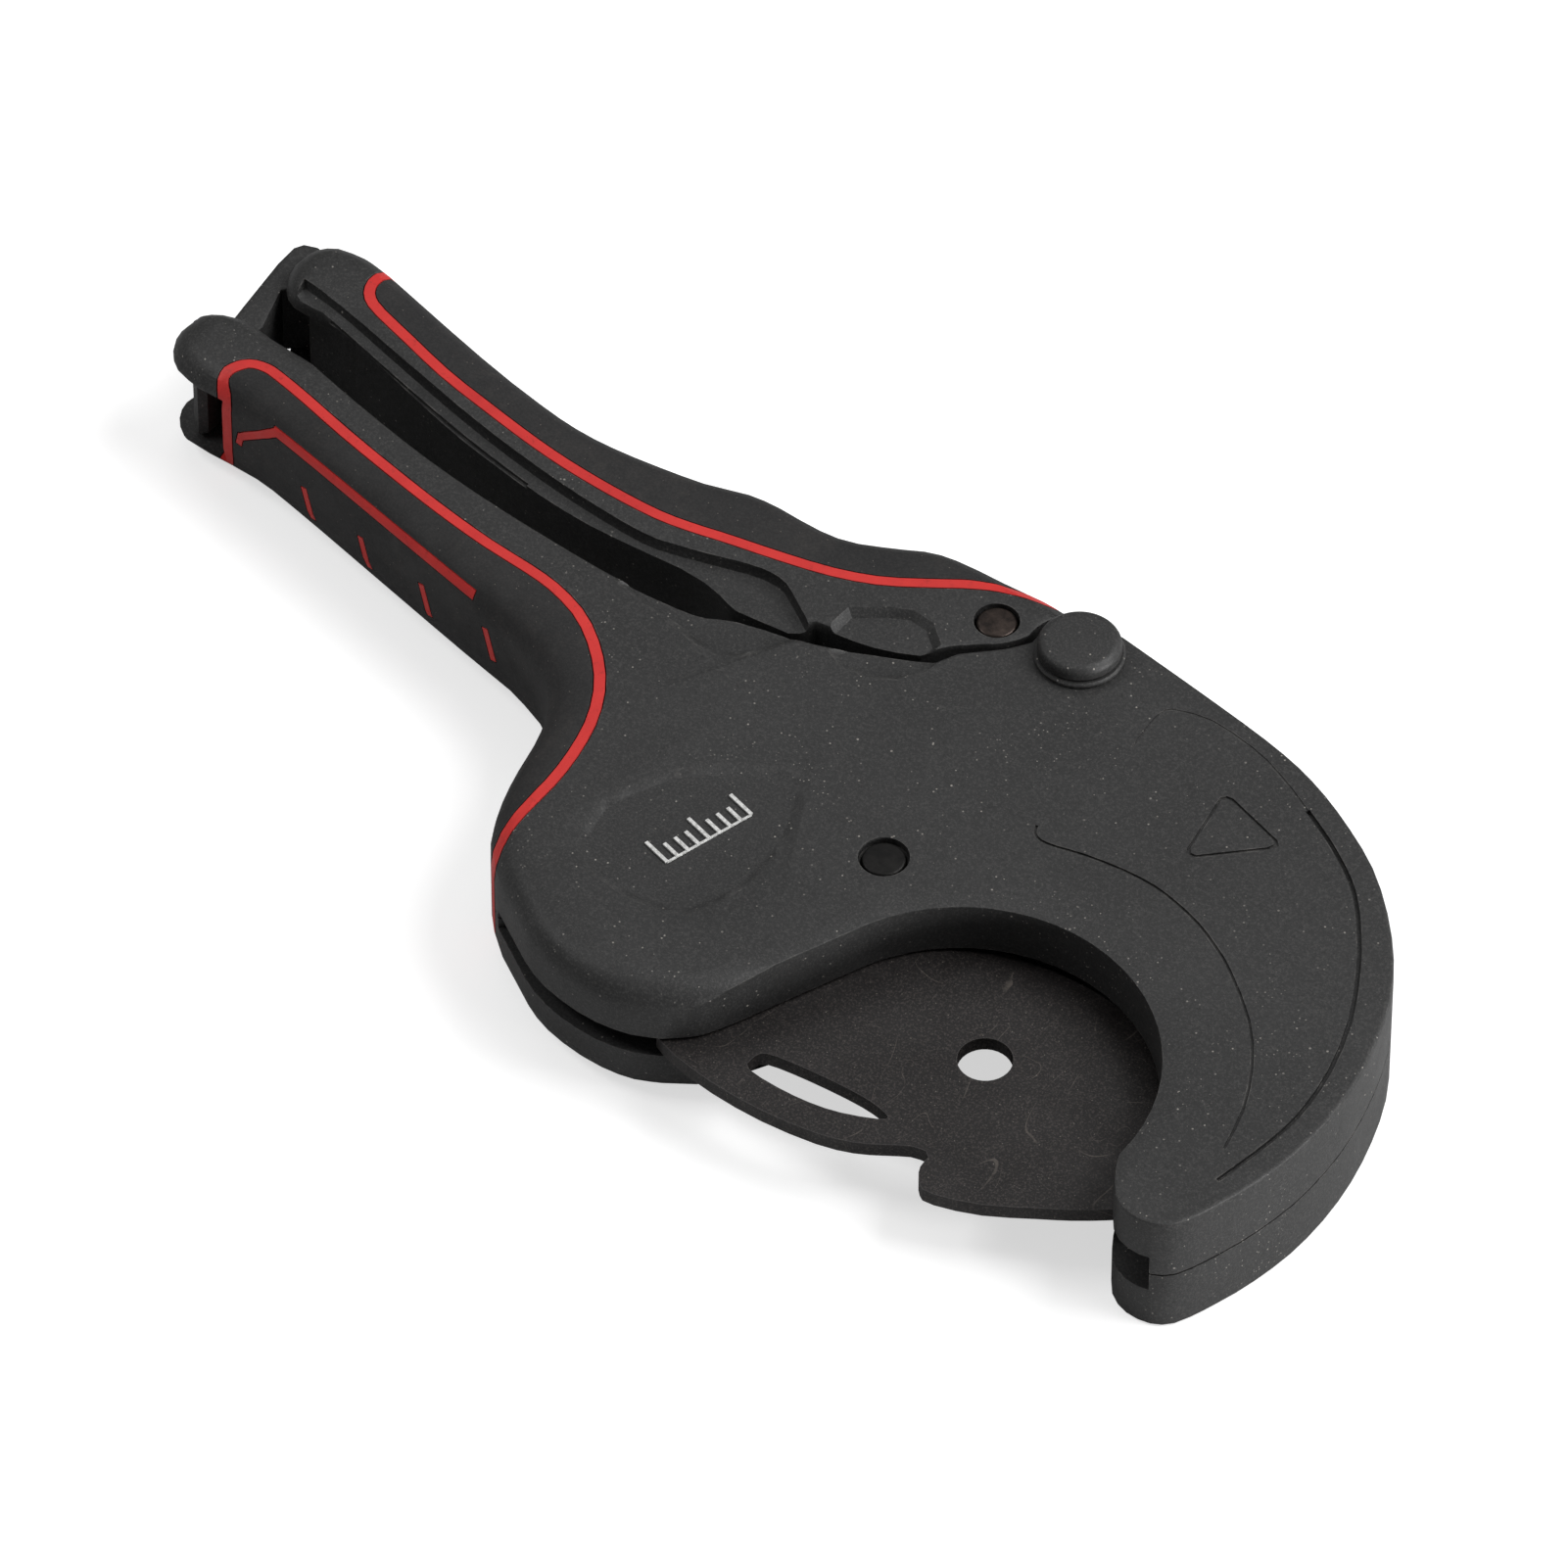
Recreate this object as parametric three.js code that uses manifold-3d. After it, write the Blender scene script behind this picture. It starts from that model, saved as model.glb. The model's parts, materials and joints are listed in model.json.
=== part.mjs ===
// Ratcheting cutter for plastic pipe. Millimetres, +Z up, tool lying flat on its lower shell.
// Every outline is drawn about the main pivot, seen from above; z = 0 is the plane where the
// two shells meet. At the end the whole tool is centred in plan and moved up onto its rest plane.
import * as THREE from 'three';
import { mergeVertices } from 'three/addons/utils/BufferGeometryUtils.js';
import Module from 'manifold-3d';

const wasm = await Module();
wasm.setup();

// ---- driving dimensions -------------------------------------------------------------------
const HALF = 12.7;             // half of the shell thickness
const PART_GAP = 0.2;          // each shell stops this far from the meeting plane
const CAVITY = 4.0;            // half height of the space round the mechanism
const LIP = 2.15;              // half height of the slot that the blade swings in
const MOUTH = { x: 39.5, y: -81, r: 32.5 };  // takes 63 mm pipe with 1 mm to spare
const BLADE_PIN = [2.8, -55.3];
const BLADE_HALF = 1.4;        // half of the blade thickness
const DRIVE_PIN = [-15.5, -2.5];
const HOLD_PIN = [-39.6, -29.8];
const LATCH_PIN = [-158.5, -9];
const STOP_PIN = [-155.5, -34.5];
const LATCH_SLOT = 8.2;        // half height of the slots the latch runs in
const TOOTH_TIP = 43, TOOTH_ROOT = 39.8, TOOTH_COUNT = 12, TOOTH_PITCH = 10, TOOTH_START = 134;
const TRIM = 0.95;             // half width of the red seam
const SEAM_GAP = 0.2;          // clearance each side of the red seam
const CORE = 6.0;              // half height of the metal core inside the grips
const SHELL_SCREWS = [[30, -5.5], [60, -15], [81.5, -41], [-53.5, -41.5], [-80, -38.1]];

// ---- materials ----------------------------------------------------------------------------
const finish = (color, roughness, metalness) =>
  new THREE.MeshStandardMaterial({ color, roughness, metalness });
const castBlack = finish(0x3c3c3d, 0.62, 0.25);
const gripRubber = finish(0x2b2b2c, 0.82, 0.0);
const redTrim = finish(0xc23a36, 0.6, 0.0);
const bladeBlack = finish(0x343233, 0.45, 0.7);
const pinSteel = finish(0x4a4440, 0.38, 0.9);
const springSteel = finish(0x8c8a86, 0.35, 1.0);
const markWhite = finish(0xd8d8d6, 0.6, 0.0);

// ---- drawing helpers ----------------------------------------------------------------------
const rad = deg => deg * Math.PI / 180;
const polar = (centre, r, deg) => [centre[0] + r * Math.cos(rad(deg)), centre[1] + r * Math.sin(rad(deg))];
const arc = (centre, r, from, to, steps) =>
  Array.from({ length: steps + 1 }, (_, i) => polar(centre, r, from + (to - from) * i / steps));
const spline = (points, steps) =>
  new THREE.SplineCurve(points.map(p => new THREE.Vector2(...p))).getPoints(steps).map(p => [p.x, p.y]);

// Points of an open line moved sideways; positive is to the left of its direction.
function sideways(line, distance) {
  return line.map((p, i) => {
    const a = line[Math.max(i - 1, 0)], b = line[Math.min(i + 1, line.length - 1)];
    const dx = b[0] - a[0], dy = b[1] - a[1], length = Math.hypot(dx, dy);
    return [p[0] - dy / length * distance, p[1] + dx / length * distance];
  });
}

function solid(geometry) {
  geometry.deleteAttribute('normal');
  geometry.deleteAttribute('uv');
  const merged = mergeVertices(geometry, 1e-4);
  return new wasm.Manifold(new wasm.Mesh({
    numProp: 3,
    vertProperties: Float32Array.from(merged.attributes.position.array),
    triVerts: Uint32Array.from(merged.index.array),
  }));
}

// Plate between two heights. Its rims are rounded: round is measured in plan, rise in height.
function plate(outline, z0, z1, round = 0, steps = 4, rise = round) {
  const shape = new THREE.Shape(outline.map(p => new THREE.Vector2(...p)));
  const geometry = new THREE.ExtrudeGeometry(shape, {
    depth: z1 - z0 - 2 * rise, steps: 1, bevelEnabled: round > 0, bevelThickness: rise,
    bevelSize: round, bevelOffset: -round, bevelSegments: steps,
  });
  geometry.translate(0, 0, z0 + rise);
  return solid(geometry);
}
// Cutter for a shallow recess in the top face, with sloping sides.
const dish = (outline, depth, slope) => plate(outline, HALF - depth, HALF + 6, slope, 1, depth);

const disc = (centre, r, z0, z1, steps = 28) => plate(arc(centre, r, 0, 360, steps).slice(0, -1), z0, z1);
const ring = (centre, rIn, rOut, z0, z1, steps) =>
  disc(centre, rOut, z0, z1, steps).subtract(disc(centre, rIn, z0 - 1, z1 + 1, steps));
const bar = (a, b, half, z0, z1) => {
  const ends = sideways([a, b], half), back = sideways([a, b], -half);
  return plate([...back, ...ends.reverse()], z0, z1);
};
// Turned piece: profile of [radius, z] from axis to axis.
const turned = (centre, profile, steps = 32) => {
  const geometry = new THREE.LatheGeometry(profile.map(p => new THREE.Vector2(...p)), steps);
  geometry.rotateX(Math.PI / 2);
  geometry.translate(centre[0], centre[1], 0);
  return solid(geometry);
};
const union = (solids) => solids.reduce((a, b) => a.add(b));
const both = (make) => make(1).add(make(-1));

const group = new THREE.Group();
function part(name, body, material) {
  const mesh = body.getMesh();
  const geometry = new THREE.BufferGeometry();
  geometry.setAttribute('position', new THREE.BufferAttribute(Float32Array.from(mesh.vertProperties), 3));
  geometry.setIndex(new THREE.BufferAttribute(Uint32Array.from(mesh.triVerts), 1));
  geometry.computeVertexNormals();
  const node = new THREE.Mesh(geometry, material);
  node.name = name;
  group.add(node);
}

// ---- plan outlines ------------------------------------------------------------------------
const jawBack = spline([[3.2, 8.0], [22, 6.3], [37, 4.6], [47, 2.4], [57, -1.5], [67.5, -7.3], [77.8, -16.4],
  [85.5, -26.5], [90.5, -38], [93.5, -50], [94.3, -62], [93, -73], [90.6, -82]], 32);
const jawTip = spline([[90.6, -82], [88.6, -87], [85.5, -89.6], [81, -90.2], [77, -88.6], [73.6, -84.2],
  [72, -81]], 12);
const mouthArc = arc([MOUTH.x, MOUTH.y], MOUTH.r, 0, 163, 26);
const ramp = spline([[8.4, -71.5], [4.8, -81], [0.6, -92], [-2.2, -97.6], [-6.5, -101.8]], 10);
const belly = spline([[-6.5, -101.8], [-12, -104.6], [-20, -105.8], [-29, -104.8], [-36, -102],
  [-42, -98.9]], 12);
const gripHeel = spline([[-42, -98.9], [-47.5, -95], [-52.6, -89.5], [-56, -83], [-58.4, -76], [-60, -70],
  [-62.4, -64], [-66, -59], [-71.5, -55.2], [-80, -52.6]], 18);
const gripUnder = spline([[-80, -52.6], [-93, -50.6], [-113, -47.2], [-133, -43.8], [-145, -42.2],
  [-156, -42.6]], 11);
const handleEnd = spline([[-156, -42.6], [-161.5, -41.6], [-165.2, -38.6], [-166.8, -34.6], [-165.8, -30.6],
  [-162.6, -27.6], [-157.5, -26.2], [-152, -26.6]], 14);
const handleTop = spline([[-152, -26.6], [-143, -28.6], [-133, -30.5], [-123, -32.1], [-113, -33.4],
  [-103, -34.2], [-93, -34.6], [-83, -34.7], [-73, -34.6], [-65, -33.9], [-58.5, -33], [-54, -31.8],
  [-50.5, -29.6], [-43, -27.2], [-38, -26.2], [-33, -24.2], [-28, -21.5], [-22.6, -18.7], [-17.6, -15.6],
  [-16.4, -12.6], [-13, -8.9], [-10.4, -6], [-8.2, -2.4]], 38);
const boss = arc([0, 0], 8.4, 180, 72, 12);
const bodyOutline = [...boss, ...jawBack, ...jawTip.slice(1), ...mouthArc.slice(1), ...ramp.slice(1),
  ...belly.slice(1), ...gripHeel.slice(1), ...gripUnder.slice(1), ...handleEnd.slice(1),
  ...handleTop.slice(1)];

const handleOuter = spline([[-152, -1.9], [-147.3, -2.3], [-132.3, -5.3], [-117.5, -8], [-104.5, -9.6],
  [-97, -9.9], [-90, -9.3], [-82, -7.9], [-74, -6.1], [-67, -3.5], [-61, -2.6], [-53, -2.4], [-47, -1.2],
  [-40.5, 2.2], [-35, 5.4], [-29, 6.9], [-20, 7.7], [-13, 8.5], [-9, 8.5]], 34);
const handleNose = arc([0, 0], 9.3, 140, 190, 7);
const handleInner = spline([[-9.9, -3.4], [-11.8, -6.2], [-14.6, -8.6], [-18.2, -12.2], [-20.6, -15.4],
  [-27, -18.7], [-32.5, -20.3], [-38.8, -21.6], [-41.4, -24.4], [-47, -25.4], [-52.5, -26.2], [-56, -25.2],
  [-63, -24.4], [-73, -25.5], [-83, -26.5], [-93, -26.5], [-103, -25.6], [-113, -24.4], [-123, -22.5],
  [-133, -20.3], [-143, -18.2], [-150, -17.6]], 36);
const handleCap = spline([[-150, -17.6], [-155.5, -17.9], [-159.3, -15.6], [-161.4, -11], [-161, -6.4],
  [-157.6, -3], [-152, -1.9]], 12);
const movingOutline = [...handleOuter, ...handleNose, ...handleInner, ...handleCap.slice(1, -1)];

// Seams between metal and rubber, drawn from the handle ends towards the head.
const fixedSeam = spline([[-149.3, -53], [-149.3, -48], [-149.3, -44.4], [-149.9, -42.4], [-151.4, -41.2],
  [-152.3, -40], [-152.2, -38.6], [-151.2, -36.8], [-149.8, -35.4], [-147.6, -34.7], [-145.2, -34.7],
  [-138, -35.8], [-128, -37.7],
  [-118, -39.3], [-108, -40.7], [-100, -41.6], [-92, -42.2], [-83, -42.4], [-77, -43], [-70, -45.1],
  [-63.5, -49.2], [-58, -54.6], [-54, -61.2], [-51.6, -68.4],
  [-50.2, -76], [-49.8, -83.5], [-49.4, -89], [-48.4, -94], [-46.8, -99], [-45, -105]], 60);
const movingSeam = spline([[-146.1, 3], [-146.4, -5], [-146.1, -8.4], [-144.6, -10.8], [-141.4, -12.4],
  [-133, -14.4], [-123, -16.7], [-113, -18.1], [-103, -19.3], [-95, -19.9], [-88, -20], [-81, -19.8],
  [-74, -19.2], [-68, -17.9], [-62, -16.2], [-53, -13.9], [-44, -11.2], [-36.5, -7.8], [-30, -3.3],
  [-24, 1.2], [-18, 4.7], [-11, 7.4], [-4, 11]], 48);

// Regions cut from the plan by a seam. side is +1 where the rubber lies left of the seam line.
function seamRegions(seam, side, far) {
  const edge = TRIM + SEAM_GAP;
  return {
    rubber: [...sideways(seam, side * edge), ...far],
    trim: [...sideways(seam, TRIM), ...sideways(seam, -TRIM).reverse()],
    notMetal: [...sideways(seam, -side * edge), ...far],
  };
}
const prism = (outline, half = 20) => plate(outline, -half, half);

// ---- fixed body: two shells, rubber grip, red seam ----------------------------------------
// Rounded plates are intersected: a small edge radius everywhere, a large one on the grip side and the
// belly, a fuller one under the grip, a shallow slope round the mouth and a domed end.
const gripRound = plate([[-180, 40], [-180, -33], ...handleEnd.slice(1, 8).reverse(),
  ...[...belly.slice(0, -3), ...gripHeel.slice(1), ...gripUnder.slice(1)].reverse(), [-1.6, -98.2],
  [2.6, -92.6], [9, -82.4], [16, -73], [26, -70], [34, -90], [34, -150], [150, -150],
  [150, 40]].reverse(), -HALF, HALF, 6.0, 4);
const gripBelow = plate([[-180, 40], [-180, -42.3], ...[...gripHeel.slice(8),
  ...gripUnder.slice(1)].reverse(), [-59, -84], [-61, -100], [-63, -150], [150, -150],
  [150, 40]].reverse(), -HALF, 60, 9, 4, 9.5);
const mouthSlope = plate([[150, -150], [72, -150], ...mouthArc, ...ramp.slice(1), ...belly.slice(1),
  [-60, -112], [-220, -112], [-220, 60], [150, 60]], -HALF, HALF, 3.6, 1, 0.5);
const endSide = [[150, -250], [150, 60], [-90, 0], [-118, -19], [-136, -25], [-146, -26.7],
  ...handleEnd.slice().reverse(), [-146, -43], [-134, -46.6], [-112, -57]].reverse();
const fixedDome = plate(endSide, -HALF, HALF, 4.8, 4, 5).intersect(plate(endSide, -HALF, 60, 5.8, 4, 9));
const bodyBlank = plate(bodyOutline, -HALF, HALF, 0.7, 2).intersect(gripRound).intersect(mouthSlope)
  .intersect(fixedDome).intersect(gripBelow);

const fixedFar = [[-52, -140], [-149.3, -140]];
const fixed = seamRegions(fixedSeam, -1, fixedFar);
const coreUnder = spline([[-139, -38.6], [-125, -40.5], [-105, -43.2], [-88, -45.4], [-76, -46.6], [-67, -50],
  [-60, -56.5], [-56.5, -65], [-54.8, -75], [-53.2, -83]], 24);
const fixedCore = (grow) => prism([...coreUnder.map(p => [p[0], p[1] - grow]), [-53.2, -83 - grow],
  [-46, -84 - grow], [-47, -60], [-58, -46], [-78, -36], [-139 - grow, -30]], CORE + grow);

const swingWall = [[84.5, -110], [85.2, -88], [88, -76], [90, -64], [89.6, -52], [86.8, -40], [82, -30],
  [74.6, -20], [65.5, -12.2], [55.5, -6.6], [46, -3], [36, -0.4], [22, 1.6], [8, 3.2], [6, 12], [-14, 12],
  [-24, -8], [-34, -14], [-44.5, -20], [-45, -29], [-46.8, -40], [-47.6, -55], [-47.2, -67], [-45.9, -77],
  [-43.4, -84.8], [-39.4, -90.6], [-32, -95.6], [-22, -99], [-12, -100.2], [-4.5, -98.8], [4, -97.5],
  [9, -110]];
const exitEnd = deg => [polar(BLADE_PIN, 44, deg), polar(BLADE_PIN, 74, deg)];
const bladeExit = [...exitEnd(-139), [-30, -130], [12, -130], [10, -95], polar(BLADE_PIN, 40, -100)];
const latchSlot = plate([[-180, -20], [-150.9, -20], [-150.9, -60], [-180, -60]], -LATCH_SLOT, LATCH_SLOT);
const mechanismWall = [[6, 12], [-14, 12], [-24, -8], [-34, -14], [-44.5, -20], [-45, -29], [-45.5, -36],
  [-30, -46], [-12, -58], [-6, -64], [2, -66.3], [9, -64], [13.4, -57], [14, -40], [12, -10]];
const tipPocket = [[84.5, -110], [85.2, -88], [86.4, -80.5], [74, -79], [66, -80.5], [66, -110]];
const cavity = plate(swingWall, -LIP, LIP).add(plate(bladeExit, -LIP, LIP))
  .add(plate(mechanismWall, -CAVITY, CAVITY)).add(plate(tipPocket, -CAVITY, CAVITY))
  .add(disc([0, 0], 9, -CAVITY, CAVITY)).add(latchSlot);

const lineCut = (line, width, depth) =>
  prism([...sideways(line, width / 2), ...sideways(line, -width / 2).reverse()])
    .intersect(plate([[-200, -200], [200, -200], [200, 200], [-200, 200]], HALF - depth, HALF + 5));
// Triangle with rounded corners, drawn about its middle so that it can grow or shrink.
const SIGN = [43.2, -14.8];
const signSide = (grow) => [[-5.4, 4.3], [-4.8, 5.2], [-3.6, 5.4], [7.2, 2.8], [8.1, 2], [7.7, 0.8],
  [-1, -8.6], [-2, -8.8], [-2.8, -7.8]].map(([x, y]) => [SIGN[0] + x * grow, SIGN[1] + y * grow]);
const topMarks = () => {
  const jawLine = spline([[50.5, -3.6], [56.3, -6.2], [60.1, -8.2], [65.3, -11.4], [69.7, -15.3],
    [74.1, -20.4], [78.1, -25.8], [83.9, -35.5], [87.8, -45.9], [89.4, -53.9], [89.8, -60.3], [89.1, -68.2],
    [88, -75.9]], 24);
  const panelLine = spline([[19.6, -10.9], [18.5, -4.8], [18.6, -1], [20.4, 0.6], [26.7, 2.3], [36.6, 1.4],
    [44.1, -0.9], [50.5, -3.6]], 16);
  const mouthLine = spline([[18, -34.1], [18.8, -35.6], [20.6, -36.3], [23.6, -35.7], [28, -34.3],
    [35, -32.9], [41.1, -32.5], [46.2, -33.1], [51.7, -34.4], [57.1, -36.6], [62.3, -39.4], [71.2, -45.9],
    [77.4, -53.1], [82.1, -61.6], [84.7, -69.9]], 28);
  const sign = plate(signSide(1.04), HALF - 0.4, HALF + 5)
    .subtract(plate(signSide(0.93), HALF - 1, HALF + 6));
  const palmRest = dish(spline([[-41.4, -76], [-40, -69], [-35, -60.2], [-27.5, -53], [-20, -49.4],
    [-15.6, -52.8], [-11.6, -61.5], [-10.2, -70], [-11.4, -79], [-14.8, -86], [-23, -88.7], [-33, -87.8],
    [-39.4, -83.6], [-41.4, -76]], 36).slice(0, -1), 0.7, 1.7);
  const scallops = dish([[-70, -35.6], [-63.2, -36.7], [-57, -37.4], [-51.1, -38.3], [-47, -38.1],
    [-43.6, -36.1], [-41.7, -33.1], [-40.3, -29.7], [-36, -24], [-50, -16], [-70, -24]], 1.1, 1.8)
    .add(dish([[-33.4, -25.4], [-28.5, -27.2], [-23.6, -25.9], [-19.7, -23.2], [-17.6, -19.6], [-16.2, -12],
    [-28, -14]], 0.8, 1.4));
  return lineCut(jawLine, 0.8, 0.8).add(lineCut(panelLine, 0.35, 0.15)).add(lineCut(mouthLine, 0.5, 0.4))
    .add(sign).add(palmRest).add(scallops);
};

// Everything the shells give way to, apart from the cavity.
const bores = disc(BLADE_PIN, 3.95, -20, 20)
  .add(both(s => disc(BLADE_PIN, 4.3, s > 0 ? HALF - 1.5 : -20, s > 0 ? 20 : 1.5 - HALF)))
  .add(disc([0, 0], 4.2, -20, 20)).add(disc([0, 0], 7.8, -20, -7.6)).add(disc(HOLD_PIN, 1.6, -8, 8, 16))
  .add(disc(STOP_PIN, 2.1, -10, 10, 16));
const pillars = union(SHELL_SCREWS.slice(0, 3).map(p => disc(p, 4, -HALF + 2, HALF - 2, 20)));
const screwHoles = union(SHELL_SCREWS
  .map(p => disc(p, 1.75, -20, 8, 16).add(disc(p, 3.1, -20, -7.4, 20))));
const shells = bodyBlank.subtract(prism(fixed.notMetal)).add(bodyBlank.intersect(fixedCore(0)))
  .subtract(cavity).add(pillars).subtract(bores).subtract(screwHoles);
const bigBox = (z0, z1) => plate([[-220, -160], [150, -160], [150, 60], [-220, 60]], z0, z1);
part('upper_body_shell', shells.intersect(bigBox(PART_GAP, 30)).subtract(topMarks()), castBlack);
part('lower_body_shell', shells.intersect(bigBox(-30, -PART_GAP)), castBlack);

// The side stripe and the four ticks are set into the outer face of the grip. Each is a slanted bar
// seen from the side, kept where it is near that face.
const inGrip = (from, to, half, depth, grow) => {
  const length = Math.hypot(to[0] - from[0], to[1] - from[1]);
  const slash = new THREE.BoxGeometry(length + 2 * grow, 40, 2 * (half + grow));
  slash.rotateY(-Math.atan2(to[1] - from[1], to[0] - from[0]));
  slash.translate((from[0] + to[0]) / 2, -55, (from[1] + to[1]) / 2);
  const skin = gripUnder.slice().reverse();
  return solid(slash)
    .intersect(plate([...sideways(skin, depth + grow), [-60, -90], [-170, -90]], -20, 20));
};
const sideStripe = (grow) => inGrip([-139.4, 8.8], [-88.6, 9.4], 0.75, 3.4, grow)
  .add(inGrip([-146.9, 2.2], [-138.7, 8.9], 0.75, 2.2, grow))
  .add(inGrip([-147.5, 0], [-146.9, 2.7], 0.6, 2, grow));
const tickPlaces = [[-130.5, -1.7], [-116, -2], [-100.4, -0.8], [-84.3, 1.5]];
const tickAt = ([x, z], grow) => inGrip([x - 1, z + 3.2], [x + 1, z - 3.2], 0.7, 1.6, grow);
const inlays = union([sideStripe(SEAM_GAP), ...tickPlaces.map(place => tickAt(place, SEAM_GAP))]);
const clear = fixedCore(SEAM_GAP).add(latchSlot);
part('fixed_handle_grip', bodyBlank.intersect(prism(fixed.rubber)).subtract(clear).subtract(inlays),
  gripRubber);
part('fixed_handle_red_seam', bodyBlank.intersect(prism(fixed.trim)).subtract(clear), redTrim);
part('fixed_grip_side_stripe', sideStripe(0).intersect(bodyBlank), redTrim);
tickPlaces.forEach((place, i) => {
  part(`fixed_grip_tick_${i + 1}`, tickAt(place, 0).intersect(bodyBlank), redTrim);
});

// ---- moving handle ------------------------------------------------------------------------
const handleRound = plate([[-170, -60], [-170, -10], [-161.6, -10], ...handleCap.slice(7, -1), ...handleOuter,
  [0, 9.3], [40, 9.3], [40, -60]], -HALF, HALF, 5.5, 4);
const movingDome = plate([...handleCap.slice().reverse(), [-144, -18.7], [-130, -23], [-90, -45], [60, -120],
  [60, 60], [-90, 12], [-128, 0.6], [-144, -1.3]].reverse(), -HALF, HALF, 4.8, 4, 5);
const handleBlank = plate(movingOutline, -HALF, HALF, 1, 2).intersect(handleRound).intersect(movingDome);
const moving = seamRegions(movingSeam, 1, [[-4, 40], [-146.1, 40]]);
const movingCoreEdge = spline([[-139, -8.6], [-125, -11.2], [-108, -13.6], [-96, -14.2], [-84, -12.6],
  [-72, -10], [-62, -7.2], [-52, -6.4], [-44, -4.2], [-37, -0.6], [-31, 1.8]], 20);
const movingCore = (grow) => prism([...movingCoreEdge.map(p => [p[0], p[1] + grow]), [-31 + grow, 1.8 + grow],
  [-31 + grow, -12], [-60, -22], [-100, -23], [-139 - grow, -17]], CORE + grow);

// Step along the inner edge of the handle, on both faces.
const stepLine = spline([[-156, -14.4], [-150, -14.9], [-143, -16], [-133, -18], [-123, -19.9], [-113, -21.6],
  [-103, -22.9], [-93, -23.8], [-83, -24.2], [-73.4, -24], [-67.9, -22.7], [-61.9, -20.7], [-56.7, -18.8],
  [-52.6, -17.7], [-48.4, -17.8], [-44, -20], [-38.6, -23]], 34);
const stepSide = [...stepLine, [-30, -40], [-156, -40]];
const step = plate(stepSide, HALF - 2.6, HALF + 6, 1.5, 2, 1.5)
  .add(plate(stepSide, -HALF - 6, 2.6 - HALF, 1.5, 2, 1.5));
const groove = lineCut(sideways(stepLine.slice(3, 15), -2.6), 0.9, 3.3);
const lozenge = dish([[-36.6, -15.6], [-35.2, -14.6], [-31.8, -11.6], [-27.8, -9.3], [-23.4, -9.5],
  [-19.2, -12.6], [-19.4, -15.2], [-22, -20], [-30, -24], [-36.6, -22]], 1.3, 1.3);
const tongue = disc([0, 0], 7.6, -3.6, 3.6, 32)
  .add(plate([[-2, 7.55], [-22, 6.4], [-22, 2.6], [-9.5, 0.6], [-7, -3]], -3.6, 3.6));
const pawlSlot = plate([[-9.8, -7], [-9.7, -0.6], [-13.2, 2.8], [-18, 2.8], [-22.5, -0.5], [-33, -13],
  [-42, -20], [-46, -34], [-20, -34]], -3.9, 3.9);
const springPocket = ring([0, 0], 3.9, 7.0, 1.4, 5, 24);
const latchFork = plate([[-180, 10], [-152.2, 10], [-152.2, -30], [-180, -30]], -LATCH_SLOT, LATCH_SLOT);
const handleMetal = handleBlank.add(tongue).subtract(prism(moving.notMetal))
  .add(handleBlank.intersect(movingCore(0))).subtract(step).subtract(groove).subtract(lozenge)
  .subtract(pawlSlot).subtract(springPocket).subtract(latchFork).subtract(disc([0, 0], 4.2, -20, 20))
  .subtract(disc(DRIVE_PIN, 3.9, -20, 20)).subtract(disc(LATCH_PIN, 2.1, -10, 10, 16));
part('moving_handle_core', handleMetal, castBlack);
part('moving_handle_grip', handleBlank.intersect(prism(moving.rubber)).subtract(movingCore(SEAM_GAP)),
  gripRubber);
part('moving_handle_red_seam', handleBlank.intersect(prism(moving.trim)).subtract(movingCore(SEAM_GAP)),
  redTrim);

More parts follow.
